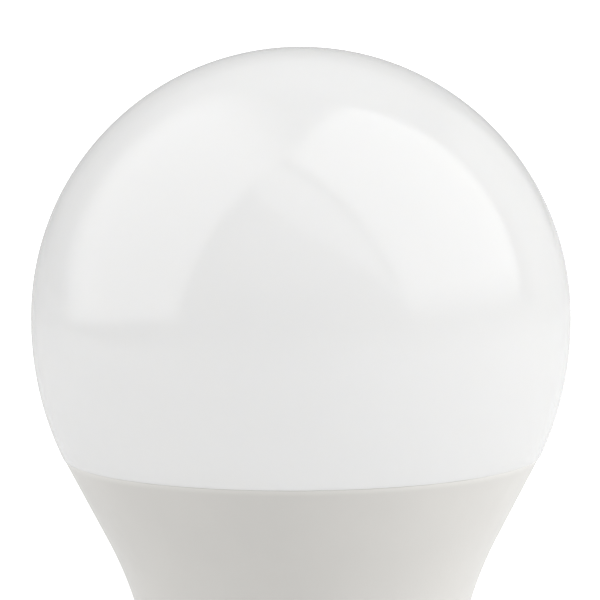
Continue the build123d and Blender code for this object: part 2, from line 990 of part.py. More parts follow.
def driver_board():
    """A shaped board that follows the liner, with a tail down into the cap."""
    envelope = turned(
        (0, board_bottom),
        (board_tail_width, board_bottom),
        (board_tail_width, board_neck_z),
        *wall_up(board_inset, board_neck_z, board_top),
        (0, board_top),
    )
    board = envelope & block((-board_reach, board_reach), (-board_half, board_half), (0, 100))
    # notches that clear the heat sink's screw bosses
    for x in (screw_x, -screw_x):
        board -= block((x - 2.7, x + 2.7), (-2, 2), (56.6, board_top + 1))
    for x, z in soldered_spots():
        board -= cross_rod(drill_radius, -2, 2, x, z)
    for x in radio_columns():
        board -= cross_rod(drill_radius, -2, 2, x, radio_pin_z)
    return board


parts = {
    "globe": globe(),
    "globe_seal": globe_seal(),
    "housing": housing(),
    "screw_shell": screw_shell(),
    "cap_insulator": cap_insulator(),
    "centre_contact": centre_contact(),
    "live_wire": live_wire(),
    "neutral_wire": neutral_wire(),
    "heat_sink": heat_sink(),
    "thermal_pad": thermal_pad(),
    "driver_liner": driver_liner(),
    "led_board": led_board(),
    "led_board_screws": led_board_screws(),
    "warm_white_leds": white_leds(7.5),
    "warm_phosphor": phosphor(7.5),
    "cool_white_leds": white_leds(22.5),
    "cool_phosphor": phosphor(22.5),
    "colour_leds": colour_leds(),
    "colour_led_lenses": colour_led_lenses(),
    "led_header": led_header(),
    "led_header_pins": led_header_pins(),
    "driver_socket": driver_socket(),
    "radio_board": radio_board(),
    "radio_shield": radio_shield(),
    "radio_chip": radio_chip(),
    "radio_antenna": radio_antenna(),
    "radio_header": radio_header(),
    "radio_header_pins": radio_header_pins(),
    "driver_board": driver_board(),
    "bulk_capacitor": can_capacitor(bulk_can),
    "output_capacitor": can_capacitor(output_can),
    "film_capacitor": film_capacitor(),
    "transformer_core": transformer_core(),
    "transformer_bobbin": transformer_bobbin(),
    "transformer_winding": transformer_winding(),
    "filter_choke_core": filter_choke_core(),
    "filter_choke_winding": filter_choke_winding(),
    "varistor": varistor(),
    "fuse_resistor": fuse_resistor(),
    "fuse_sleeve": fuse_sleeve(),
    **{name: chip(**spec) for name, spec in packages.items()},
    "package_legs": package_legs(),
    "chip_resistors": chip_resistors(),
    "chip_capacitors": chip_capacitors(),
    "component_leads": component_leads(),
    "solder_joints": solder_joints(),
}

os.makedirs("parts", exist_ok=True)
for name, shape in parts.items():
    export_step(shape, f"parts/{name}.step")
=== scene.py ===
# Looks of a screw-cap LED lamp with a radio module: moulded globe and housing, rolled cap,
# wound coils, circuit boards and a plain studio. Shapes are worked out in millimetres from the
# frame's boxes and turned into metres where a mesh is made.
from math import asin, cos, degrees, hypot, pi, radians, sin, sqrt, tan

import bpy
from mathutils import Matrix, Vector

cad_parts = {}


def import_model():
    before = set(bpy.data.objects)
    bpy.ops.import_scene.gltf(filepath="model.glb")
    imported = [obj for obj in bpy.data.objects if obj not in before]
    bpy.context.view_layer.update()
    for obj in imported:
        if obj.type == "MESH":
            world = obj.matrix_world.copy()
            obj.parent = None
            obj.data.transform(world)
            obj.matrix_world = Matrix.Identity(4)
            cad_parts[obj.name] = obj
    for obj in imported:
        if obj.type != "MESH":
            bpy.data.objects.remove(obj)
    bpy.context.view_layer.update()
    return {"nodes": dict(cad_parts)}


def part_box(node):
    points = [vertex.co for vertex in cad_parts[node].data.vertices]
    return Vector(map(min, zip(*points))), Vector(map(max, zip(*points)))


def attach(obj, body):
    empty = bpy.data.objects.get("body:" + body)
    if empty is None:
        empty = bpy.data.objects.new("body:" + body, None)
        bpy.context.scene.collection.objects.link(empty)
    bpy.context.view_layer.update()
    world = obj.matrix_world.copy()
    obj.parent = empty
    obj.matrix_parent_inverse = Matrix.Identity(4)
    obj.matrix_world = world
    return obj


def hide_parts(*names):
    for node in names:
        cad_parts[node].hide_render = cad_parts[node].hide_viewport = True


MM = 0.001
SEGMENTS = 192  # round a turned piece
THREAD_SEGMENTS = 288
SHARP_ANGLE = radians(32)

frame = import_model()
nodes = frame["nodes"]


def span(node):
    """A CAD node's lowest and highest corners in millimetres."""
    low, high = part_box(node)
    return low / MM, high / MM


globe_low, globe_high = span("globe")
housing_low, housing_high = span("housing")
shell_low, shell_high = span("screw_shell")
insulator_low, insulator_high = span("cap_insulator")
contact_low, contact_high = span("centre_contact")

# ---- Globe (mm) ----
globe_radius = globe_high.x
globe_wall = 1.2
belt_height = 0.4
lower_arc_radius = 35.4
seam_gap = 0.02
seam_step = 0.08
rim_round = 0.06
crown_z = globe_high.z - globe_radius
waist_z = crown_z - belt_height
seam_z = housing_high.z + seam_gap / 2
arc_offset = globe_radius - lower_arc_radius
seam_radius = arc_offset + sqrt(lower_arc_radius**2 - (waist_z - seam_z) ** 2)
spigot_outer = 23.2
spigot_inner = 22.2
lug_reach = 0.5
lug_half_angle = asin(2.5 / spigot_outer)

# ---- Housing (mm) ----
cone_angle = radians(27.65)
cone_height = 9.2
flare_radius = 42.0
neck_angle = radians(8)
housing_wall = 1.6
collar_round = 1.2
groove_radius = 23.35
ledge_z = seam_z - 3.85
pocket_low = seam_z - 2.5
pocket_high = pocket_low + 1.4
pocket_depth = 0.6
plug_radius = 11.35
plug_bore = 9.85
plug_bottom = housing_low.z
plug_seat_radius = 12.6
plug_seat_z = 21.3
floor_z = 27.3

# ---- Screw cap (mm) ----
thread_pitch = 3.629
thread_crest = 13.15
thread_root = 12.05
thread_arc = 1.025
shell_wall = 0.45
hem_radius = 1.45
hem_z = shell_low.z
thread_start = hem_z + hem_radius
barrel_z = 20.6
barrel_top = shell_high.z
collar_z = barrel_top + 0.2
run_in = 1.6
run_out = 2.2
dent_count = 12
dent_z = 24.0
dent_ball = 1.05
dent_offset = 0.6
stake_radius = 12.05
stake_half = 1.25

# ---- LED board (mm) ----
led_land_count = 24.0
led_ring_inner = 13.2
led_ring_outer = 18.8


# ---- Outlines ----
def arc(centre, radius, start, stop, steps):
    """Points of an arc in the (radius, height) plane. Angles in degrees from the outward way."""
    points = []
    for i in range(steps + 1):
        a = radians(start + (stop - start) * i / steps)
        points.append((centre[0] + radius * cos(a), centre[1] + radius * sin(a)))
    return points


def soften(corners, steps=3):
    """An outline whose corners are rounded. A corner is (radius, height) or
    (radius, height, rounding); the rounding is how far from the corner the curve starts."""
    points = []
    count = len(corners)
    for i, corner in enumerate(corners):
        here = Vector(corner[:2])
        if len(corner) < 3:
            points.append(tuple(here))
            continue
        before = Vector(corners[i - 1][:2]) - here
        after = Vector(corners[(i + 1) % count][:2]) - here
        start = here + before.normalized() * min(corner[2], before.length * 0.49)
        stop = here + after.normalized() * min(corner[2], after.length * 0.49)
        for k in range(steps + 1):
            t = k / steps
            points.append(tuple(start * (1 - t) ** 2 + here * (2 * t * (1 - t)) + stop * t**2))
    return points


def line(start, stop, steps):
    """Evenly spaced points from start, without the last one."""
    first = Vector(start)
    way = Vector(stop) - first
    return [tuple(first + way * i / steps) for i in range(steps)]


# ---- Body wall: neck, flare and cone ----
def flare_point(angle, inset=0.0):
    foot_r = seam_radius - seam_step - cone_height * tan(cone_angle)
    foot_z = seam_z - cone_height
    centre_r = foot_r + flare_radius * cos(cone_angle)
    centre_z = foot_z - flare_radius * sin(cone_angle)
    reach = flare_radius + inset
    return centre_r - reach * cos(angle), centre_z + reach * sin(angle)


def cone_point(z, inset=0.0):
    r, foot = flare_point(cone_angle, inset)
    return r + (z - foot) * tan(cone_angle), z


def neck_point(z, inset=0.0):
    r, top = flare_point(neck_angle, inset)
    return r - (top - z) * tan(neck_angle), z


def body_wall(inset, bottom, top):
    """Points up the body wall, from a height in the neck to a height in the cone."""
    neck_steps = 14
    flare_steps = 20
    cone_steps = 8
    points = line(neck_point(bottom, inset), flare_point(neck_angle, inset), neck_steps)
    for i in range(flare_steps):
        lean = neck_angle + (cone_angle - neck_angle) * i / flare_steps
        points.append(flare_point(lean, inset))
    points += line(flare_point(cone_angle, inset), cone_point(top, inset), cone_steps)
    return points + [cone_point(top, inset)]


# ---- Mesh building ----
def link_mesh(name, verts, faces, sharp=SHARP_ANGLE):
    """A smooth mesh object from millimetre vertices, with its hard edges marked."""
    mesh = bpy.data.meshes.new(name)
    mesh.from_pydata([Vector(v) * MM for v in verts], [], faces)
    mesh.polygons.foreach_set("use_smooth", [True] * len(mesh.polygons))
    mesh.set_sharp_from_angle(angle=sharp)
    mesh.update()
    obj = bpy.data.objects.new(name, mesh)
    bpy.context.scene.collection.objects.link(obj)
    return obj


def turned_mesh(rows, segments=SEGMENTS, closed=True):
    """Vertices and faces turned about Z from (radius, height) rows. Either may be a function of
    the turn angle, and a row of zero radius is one vertex on the axis."""
    verts = []
    rings = []
    for radius, height in rows:
        count = 1 if radius == 0 else segments
        ring = []
        for i in range(count):
            a = 2 * pi * i / segments
            r = radius(a) if callable(radius) else radius
            z = height(a) if callable(height) else height
            ring.append(len(verts))
            verts.append((r * cos(a), r * sin(a), z))
        rings.append(ring)
    pairs = list(zip(rings, rings[1:]))
    if closed:
        pairs.append((rings[-1], rings[0]))
    faces = []
    for low, high in pairs:
        for i in range(segments):
            j = i + 1
            loop = [low[i % len(low)], high[i % len(high)], high[j % len(high)], low[j % len(low)]]
            face = list(dict.fromkeys(loop))
            if len(face) > 2:
                faces.append(face)
    return verts, faces


def turned(name, rows, segments=SEGMENTS, place=Matrix.Identity(4), closed=True):
    """A turned piece; its rows run clockwise as seen with the radius to the right."""
    verts, faces = turned_mesh(rows, segments, closed)
    return link_mesh(name, [place @ Vector(v) for v in verts], faces)


def islands(node):
    """The (low, high) boxes, in millimetres, of a CAD node's separate solids."""
    mesh = nodes[node].data
    parent = list(range(len(mesh.vertices)))

    def root(i):
        while parent[i] != i:
            parent[i] = parent[parent[i]]
            i = parent[i]
        return i

    # vertices at the same place belong together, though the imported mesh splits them
    seen = {}
    for v in mesh.vertices:
        key = tuple(round(c, 7) for c in v.co)
        parent[root(v.index)] = root(seen.setdefault(key, v.index))
    for edge in mesh.edges:
        a, b = edge.vertices
        parent[root(a)] = root(b)
    groups = {}
    for v in mesh.vertices:
        groups.setdefault(root(v.index), []).append(v.co / MM)
    boxes = []
    for points in groups.values():
        low = Vector([min(p[k] for p in points) for k in range(3)])
        high = Vector([max(p[k] for p in points) for k in range(3)])
        boxes.append((low, high))
    return sorted(boxes, key=lambda box: tuple(box[0]))


def finish_piece(obj, look, slot, *replaced):
    """Gives a piece its material and its body, and hides the CAD parts it replaces. The slot is not
    used.
    """
    obj.data.materials.append(look)
    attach(obj, "root")
    if replaced:
        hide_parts(*replaced)
    return obj


# ---- Materials ----
class Look:
    """A Principled material and the nodes that give it detail."""

    def __init__(self, name, colour, roughness, metallic=0.0, **inputs):
        self.material = bpy.data.materials.new(name)
        self.material.use_nodes = True
        self.tree = self.material.node_tree
        self.shader = self.tree.nodes["Principled BSDF"]
        self.shader.inputs["Base Color"].default_value = (*colour, 1.0)
        self.shader.inputs["Roughness"].default_value = roughness
        self.shader.inputs["Metallic"].default_value = metallic
        for key, value in inputs.items():
            self.shader.inputs[key.replace("_", " ")].default_value = value
        self.place = self.node("ShaderNodeTexCoord").outputs["Object"]
        self.normal = None

    def node(self, kind, **settings):
        made = self.tree.nodes.new(kind)
        for key, value in settings.items():
            setattr(made, key, value)
        return made

    def join(self, value, socket):
        """Plugs a socket or a plain value into an input."""
        if isinstance(value, bpy.types.NodeSocket):
            self.tree.links.new(value, socket)
        else:
            socket.default_value = value

    def math(self, operation, *values):
        made = self.node("ShaderNodeMath", operation=operation)
        for value, socket in zip(values, made.inputs):
            self.join(value, socket)
        return made.outputs[0]

    def vector(self, operation, *values):
        made = self.node("ShaderNodeVectorMath", operation=operation)
        for value, socket in zip(values, made.inputs):
            self.join(value, socket)
        return made.outputs["Value"] if operation == "LENGTH" else made.outputs[0]

    def axis(self, name):
        """One coordinate, in millimetres."""
        split = self.node("ShaderNodeSeparateXYZ")
        self.join(self.place, split.inputs[0])
        return self.math("DIVIDE", split.outputs[name], MM)

    def radial(self):
        """Distance from the lamp's axis, in millimetres."""
        flat = self.vector("MULTIPLY", self.place, (1 / MM, 1 / MM, 0))
        return self.vector("LENGTH", flat)

    def turn(self):
        """Angle about the lamp's axis, in radians."""
        return self.math("ARCTAN2", self.axis("Y"), self.axis("X"))

    def noise(self, size, detail=3.0, stretch=(1, 1, 1), vector=None):
        """Noise with features of about size millimetres, drawn out along an axis by stretch."""
        if vector is None:
            vector = self.vector("DIVIDE", self.place, [size * MM * s for s in stretch])
        made = self.node("ShaderNodeTexNoise")
        made.inputs["Scale"].default_value = 1.0
        made.inputs["Detail"].default_value = detail
        self.join(vector, made.inputs["Vector"])
        return made.outputs["Fac"]

    def rings(self, size):
        """Noise that only changes with height and distance from the axis, like turning marks."""
        made = self.node("ShaderNodeCombineXYZ")
        self.join(self.math("DIVIDE", self.axis("Z"), size), made.inputs[0])
        self.join(self.math("DIVIDE", self.radial(), size), made.inputs[1])
        # the angle is folded, so that the noise has no seam
        self.join(self.math("MULTIPLY", self.math("ABSOLUTE", self.turn()), 0.6), made.inputs[2])
        return self.noise(size, vector=made.outputs[0])

    def remap(self, value, low, high, start=0.3, stop=0.7):
        """A texture's range from start to stop, mapped smoothly onto low to high."""
        made = self.node("ShaderNodeMapRange", interpolation_type="SMOOTHSTEP")
        for name, number in (("From Min", start), ("From Max", stop), ("To Min", low), ("To Max", high)):
            made.inputs[name].default_value = number
        self.join(value, made.inputs["Value"])
        return made.outputs["Result"]

    def mix(self, factor, first, second):
        made = self.node("ShaderNodeMix", data_type="RGBA")
        self.join(factor, made.inputs["Factor"])
        for colour, socket in ((first, made.inputs["A"]), (second, made.inputs["B"])):
            self.join(colour if isinstance(colour, bpy.types.NodeSocket) else (*colour, 1.0), socket)
        return made.outputs["Result"]

    def colour(self, value):
        self.join(value, self.shader.inputs["Base Color"])

    def mottle(self, first, second, size, **shape):
        """Colour that drifts between two tones."""
        self.colour(self.mix(self.remap(self.noise(size, **shape), 0, 1), first, second))

    def roughness(self, value):
        self.join(value, self.shader.inputs["Roughness"])

    def uneven(self, low, high, size, **shape):
        """Roughness that drifts between two values."""
        self.roughness(self.remap(self.noise(size, **shape), low, high))

    def bump(self, height, depth):
        """Raises the surface by up to depth millimetres."""
        made = self.node("ShaderNodeBump")
        made.inputs["Strength"].default_value = 1.0
        made.inputs["Distance"].default_value = depth * MM
        self.join(height, made.inputs["Height"])
        if self.normal is not None:
            self.join(self.normal, made.inputs["Normal"])
        self.normal = made.outputs["Normal"]
        self.join(self.normal, self.shader.inputs["Normal"])

    def grain(self, size, depth, **shape):
        self.bump(self.noise(size, **shape), depth)


def opal_look():
    """Milky gloss plastic, with the faint waviness and flow of a moulded part."""
    look = Look("opal_plastic", (0.90, 0.90, 0.888), 0.13, IOR=1.585)
    look.mottle((0.905, 0.903, 0.890), (0.893, 0.893, 0.884), 22.0, detail=2.0)
    look.uneven(0.06, 0.09, 9.0)
    look.shader.inputs["Subsurface Weight"].default_value = 0.25
    look.shader.inputs["Subsurface Radius"].default_value = (1.0, 0.95, 0.85)
    look.shader.inputs["Subsurface Scale"].default_value = 2.5 * MM
    look.grain(26.0, 0.10, detail=1.0)
    look.grain(0.5, 0.0006)
    return look.material


def housing_look():
    """Warm grey moulding with a fine spark-eroded texture."""
    look = Look("housing_plastic", (0.66, 0.645, 0.61), 0.38, IOR=1.53)
    drift = look.remap(look.noise(11.0), 0, 1)
    body = look.mix(drift, (0.645, 0.632, 0.603), (0.629, 0.617, 0.590))
    # painted highlight: the colour turns paler within 0.8 mm of the rim, standing in for the light along
    # the seam
    rim = look.remap(look.axis("Z"), 0, 1, seam_z - 0.8, seam_z)
    look.colour(look.mix(rim, body, (0.73, 0.72, 0.69)))
    look.uneven(0.34, 0.42, 2.5)
    look.shader.inputs["Sheen Weight"].default_value = 0.3
    look.shader.inputs["Sheen Roughness"].default_value = 0.4
    look.grain(0.22, 0.006)
    look.grain(0.9, 0.004, detail=1.0)
    return look.material


def nickel_look():
    """Rolled plated sheet: brighter and smoother on the worn crests, rougher in the roots, whose colour
    is darkened as painted shade.
    """
    look = Look("nickel_plate", (0.74, 0.71, 0.66), 0.25, metallic=1.0)
    height = look.remap(look.radial(), 0, 1, thread_root - 0.1, thread_crest)
    # painted shade and wear: the colour is darker towards the thread roots and paler on the worn crests
    crest_wear_and_root_shade = look.math("MULTIPLY", height, look.remap(look.noise(2.2), 0.78, 1.0))
    look.colour(look.mix(crest_wear_and_root_shade, (0.56, 0.53, 0.48), (0.80, 0.775, 0.73)))
    streaks = look.remap(look.rings(0.12), -0.07, 0.07)
    patches = look.remap(look.noise(3.0), 0.0, 0.06)
    smooth = look.math("MULTIPLY_ADD", crest_wear_and_root_shade, -0.16, 0.36)
    look.roughness(look.math("ADD", smooth, look.math("ADD", streaks, patches)))
    look.bump(look.rings(0.09), 0.003)
    look.grain(1.8, 0.005, detail=1.0)
    return look.material


def vitrite_look():
    """Black glassy insulator with fine pits."""
    look = Look("black_vitrite", (0.012, 0.012, 0.014), 0.18)
    look.mottle((0.010, 0.010, 0.012), (0.035, 0.030, 0.032), 1.6)
    look.uneven(0.12, 0.3, 0.8)
    look.grain(0.5, 0.012)
    return look.material


def contact_look():
    """Plated brass nail with turned rings and rubbed spots."""
    look = Look("contact_brass", (0.74, 0.66, 0.47), 0.28, metallic=1.0)
    rubbed = look.remap(look.noise(0.9), 0, 1)
    look.colour(look.mix(rubbed, (0.70, 0.62, 0.42), (0.80, 0.76, 0.66)))
    look.roughness(look.remap(look.rings(0.1), 0.18, 0.4))
    look.bump(look.rings(0.12), 0.006)
    return look.material


def metal_look(name, dark, light, rough, size=0.6, stretch=(1, 1, 1)):
    """Sheet, wire or cast metal with drawn-out streaks."""
    look = Look(name, light, rough, metallic=1.0)
    look.mottle(dark, light, size * 4, stretch=stretch)
    look.uneven(rough * 0.75, rough * 1.3, size, stretch=stretch)
    look.grain(size * 0.5, 0.006, stretch=stretch)
    return look.material


def plastic_look(name, first, second, rough, grain_size=0.25, depth=0.006, **inputs):
    """Moulded plastic, rubber, epoxy or ceramic with drifting tone and a fine skin."""
    look = Look(name, first, rough, **inputs)
    look.mottle(first, second, grain_size * 10)
    look.uneven(rough * 0.8, min(1.0, rough * 1.25), grain_size * 4)
    look.grain(grain_size, depth)
    return look.material


def board_look(name, mask, copper_mask, pitch):
    """Solder mask over etched tracks: long cells of copper with clear gaps between them."""
    look = Look(name, mask, 0.32)
    flat = look.node("ShaderNodeCombineXYZ")
    look.join(look.math("DIVIDE", look.axis("X"), pitch), flat.inputs[0])
    look.join(look.math("DIVIDE", look.axis("Z"), pitch), flat.inputs[1])
    cells = look.node("ShaderNodeTexBrick", offset=0.37, squash=1.6, squash_frequency=3)
    cells.inputs["Scale"].default_value = 0.35
    cells.inputs["Mortar Size"].default_value = 0.035
    cells.inputs["Mortar Smooth"].default_value = 0.2
    look.join(flat.outputs[0], cells.inputs["Vector"])
    copper = look.math("SUBTRACT", 1.0, cells.outputs["Fac"])
    look.colour(look.mix(copper, mask, copper_mask))
    look.uneven(0.24, 0.4, 1.0)
    look.bump(copper, 0.03)
    look.grain(0.2, 0.004)
    return look.material


def led_board_look():
    """White solder mask; the ring of copper lands under the light sources shows through."""
    look = Look("led_board_mask", (0.86, 0.86, 0.84), 0.3)
    wave = look.math("SINE", look.math("MULTIPLY", look.turn(), led_land_count))
    lands = look.remap(wave, 0, 1, -0.92, -0.8)
    inner = look.remap(look.radial(), 0, 1, led_ring_inner, led_ring_inner + 0.2)
    outer = look.remap(look.radial(), 1, 0, led_ring_outer - 0.2, led_ring_outer)
    copper = look.math("MULTIPLY", lands, look.math("MULTIPLY", inner, outer))
    look.colour(look.mix(copper, (0.84, 0.85, 0.83), (0.90, 0.895, 0.87)))
    look.uneven(0.22, 0.38, 1.2)
    look.bump(copper, 0.035)
    look.grain(0.3, 0.005)
    return look.material


def phosphor_look(name, first, second):
    """Silicone filled with phosphor grains."""
    look = Look(name, first, 0.35)
    look.mottle(first, second, 0.35, detail=6.0)
    look.shader.inputs["Subsurface Weight"].default_value = 0.3
    look.shader.inputs["Subsurface Scale"].default_value = 0.3 * MM
    look.grain(0.12, 0.01)
    return look.material


def clear_look():
    """Clear silicone with a trace of haze."""
    look = Look("clear_silicone", (0.95, 0.97, 0.96), 0.08, IOR=1.41)
    look.shader.inputs["Transmission Weight"].default_value = 0.9
    look.uneven(0.04, 0.16, 0.6)
    look.grain(1.2, 0.02, detail=1.0)
    return look.material


def copper_look():
    """Enamelled winding wire."""
    look = Look("enamelled_copper", (0.62, 0.24, 0.09), 0.3, metallic=0.9)
    look.mottle((0.55, 0.19, 0.07), (0.72, 0.30, 0.12), 0.9)
    look.uneven(0.2, 0.38, 0.4)
    look.shader.inputs["Coat Weight"].default_value = 0.6
    look.grain(0.15, 0.006)
    return look.material


def sleeve_look():
    """Dark shrink sleeve, drawn tight along the can."""
    look = Look("capacitor_sleeve", (0.03, 0.03, 0.045), 0.35)
    look.mottle((0.025, 0.026, 0.04), (0.05, 0.05, 0.07), 1.5)
    look.uneven(0.25, 0.45, 0.7, stretch=(1, 1, 4))
    look.grain(0.5, 0.01, stretch=(1, 1, 6))
    return look.material


# ---- Globe ----
def near_lug(angle):
    """Whether a turn angle is at one of the four snap lugs."""
    quarter = pi / 2
    off = (angle + quarter / 2) % quarter - quarter / 2
    return abs(off) <= lug_half_angle


def at_lugs(there, elsewhere):
    return lambda angle: there if near_lug(angle) else elsewhere


def lower_arc(start_z, stop_z, inset, steps):
    """Points of the globe's lower arc between two heights."""
    radius = lower_arc_radius - inset
    start = degrees(asin((start_z - waist_z) / radius))
    stop = degrees(asin((stop_z - waist_z) / radius))
    return arc((arc_offset, waist_z), radius, start, stop, steps)


def globe():
    rim = seam_z + seam_gap / 2
    shelf = rim + globe_wall
    tip = globe_low.z
    crown = arc((0, crown_z), globe_radius, 90, 0, 56)
    crown[0] = (0, globe_high.z)
    rows = crown + lower_arc(waist_z, rim + rim_round, 0, 30)
    edge_r = rows[-1][0]
    rows += arc((edge_r - rim_round, rim + rim_round), rim_round, -20, -90, 4)
    rows += [(spigot_outer + 0.15, rim), (spigot_outer, rim - 0.15)]
    bumped = spigot_outer + lug_reach
    lug_low = tip + 0.3
    lug_high = lug_low + 0.9
    rows += [
        (spigot_outer, lug_high + 0.02),
        (at_lugs(bumped, spigot_outer), lug_high),
        (at_lugs(bumped, spigot_outer), lug_high - 0.2),
        (at_lugs(spigot_outer + 0.1, spigot_outer), lug_low),
        (spigot_outer, lug_low - 0.02),
        (spigot_outer, tip + 0.1),
        (spigot_outer - 0.1, tip),
        (spigot_inner, tip),
        (spigot_inner, shelf),
    ]
    inner = globe_radius - globe_wall
    rows += lower_arc(shelf, waist_z, globe_wall, 20)
    rows += arc((0, crown_z), inner, 0, 90, 40)
    rows[-1] = (0, crown_z + inner)
    obj = turned("globe_shell", rows, closed=False)
    return finish_piece(obj, opal_look(), "opal_diffuser", "globe")


# ---- Housing ----
def housing():
    rim = housing_high.z
    corner = collar_z + collar_round
    corner_r = neck_point(corner)[0]
    start_lean = degrees(neck_angle)
    rows = soften([(plug_bore, plug_bottom), (plug_radius, plug_bottom, 0.5)])
    rows += [
        (plug_radius, plug_seat_z - 0.6),
        (plug_seat_radius, plug_seat_z),
        (plug_seat_radius, dent_z - stake_half),
        (stake_radius, dent_z - stake_half + 0.3),
        (stake_radius, dent_z + stake_half - 0.3),
        (plug_seat_radius, dent_z + stake_half),
        (plug_seat_radius, collar_z - 0.1),
        (plug_seat_radius + 0.1, collar_z),
    ]
    rows += arc((corner_r - collar_round, corner), collar_round, -90, -start_lean, 8)
    rows += body_wall(0, corner, rim - rim_round)[1:]
    rows += arc((rows[-1][0] - rim_round, rim - rim_round), rim_round, 0, 90, 4)
    rows += [(groove_radius + 0.15, rim), (groove_radius, rim - 0.15)]
    deep = groove_radius + pocket_depth
    rows += [
        (groove_radius, pocket_high + 0.02),
        (at_lugs(deep, groove_radius), pocket_high),
        (at_lugs(deep, groove_radius), pocket_low),
        (groove_radius, pocket_low - 0.02),
        (groove_radius, ledge_z),
    ]
    rows += reversed(body_wall(housing_wall, floor_z, ledge_z))
    rows += [(plug_bore, floor_z)]
    # the rows run anticlockwise here, so they are turned round to face outwards
    obj = turned("housing_body", list(reversed(rows)))
    return finish_piece(obj, housing_look(), "housing_plastic", "housing")


# ---- Screw cap ----
def knuckle(distance):
    """Radius of the rounded thread at an axial distance from a crest."""
    half = thread_pitch / 2
    along = abs((distance + half) % thread_pitch - half)
    if along < half / 2:
        return thread_crest - thread_arc + sqrt(thread_arc**2 - along**2)
    return thread_root + thread_arc - sqrt(thread_arc**2 - (half - along) ** 2)


def ease(share):
    share = max(0.0, min(1.0, share))
    return share * share * (3 - 2 * share)


def thread_radius(angle, z):
    radius = knuckle(z - thread_pitch * angle / (2 * pi))
    radius = thread_crest + (radius - thread_crest) * ease((barrel_z - z) / run_out)
    return thread_root + (radius - thread_root) * ease((z - thread_start) / run_in)


def barrel_radius(angle, z, inset):
    """The plain barrel with its ring of staking dents, pressed in by a ball."""
    radius = thread_crest - inset
    step = 2 * pi / dent_count
    off = (angle + step / 2) % step - step / 2
    across = thread_crest * sin(off)
    ball = dent_ball + inset
    spread = hypot(across, z - dent_z)
    if spread >= ball:
        return radius
    pressed = thread_crest + dent_offset - sqrt(ball**2 - spread**2)
    return min(radius, pressed)


def shell_surface(inset):
    """Rows up the threaded sheet and the barrel, at an inset from the outside."""
    rows = []
    thread_rows = 96
    barrel_rows = 30
    for i in range(thread_rows):
        z = thread_start + (barrel_z - thread_start) * i / thread_rows
        rows.append((lambda a, z=z: thread_radius(a, z) - inset, z))
    for i in range(barrel_rows + 1):
        z = barrel_z + (barrel_top - 0.12 - barrel_z) * i / barrel_rows
        rows.append((lambda a, z=z: barrel_radius(a, z, inset), z))
    return rows


def screw_shell():
    centre = (thread_root - hem_radius, thread_start)
    inner_hem = hem_radius - shell_wall
    rows = [(centre[0] - 0.45, hem_z + 0.05)]
    rows += arc(centre, hem_radius, -90, 0, 14)[:-1]
    rows += shell_surface(0)
    rows += [(thread_crest - 0.12, barrel_top), (thread_crest - shell_wall + 0.08, barrel_top)]
    rows += reversed(shell_surface(shell_wall))
    rows += arc(centre, inner_hem, 0, -90, 10)[1:]
    rows += [(centre[0] - 0.45, hem_z + shell_wall - 0.05)]
    obj = turned("cap_shell", list(reversed(rows)), THREAD_SEGMENTS)
    return finish_piece(obj, nickel_look(), "cap_plating", "screw_shell")


def cap_insulator():
    """Stepped cone of black glass with softened edges."""
    low = insulator_low.z
    high = insulator_high.z
    rim = insulator_high.x
    hole = 1.35
    outline = [
        (hole, low, 0.1),
        (4.9, low, 0.3),
        (5.5, low + 0.5, 0.4),
        (6.6, low + 1.7, 0.5),
        (7.6, low + 2.0, 0.5),
        (9.95, low + 3.9, 0.3),
        (9.95, low + 4.65, 0.1),
        (rim, low + 4.65, 0.1),
        (rim, high, 0.2),
        (8.7, high, 0.3),
        (4.4, low + 2.2, 0.5),
        (2.7, low + 2.2, 0.4),
        (2.7, low + 4.8, 0.3),
        (hole, low + 4.8, 0.1),
    ]
    obj = turned("cap_insulator_glass", list(reversed(soften(outline, 5))), 144)
    return finish_piece(obj, vitrite_look(), "cap_insulation", "cap_insulator")


def centre_contact():
    head = contact_high.x
    top = contact_high.z
    flat = 2.9
    rows = [(0, 0), (flat * 0.5, 0.0)]
    rows += arc((head - 0.95, 0.95), 0.95, -90, 0, 10)
    rows += soften([(head, 1.25), (head - 0.1, 1.35), (1.35, 1.35, 0.1), (1.25, 1.5, 0.1)])
    rows += [(1.25, top - 0.9), (1.2, top - 0.8), (0.5, top - 0.05), (0.3, top), (0, top)]
    obj = turned("contact_nail", list(reversed(rows)), 96, closed=False)
    return finish_piece(obj, contact_look(), "contact_plating", "centre_contact")


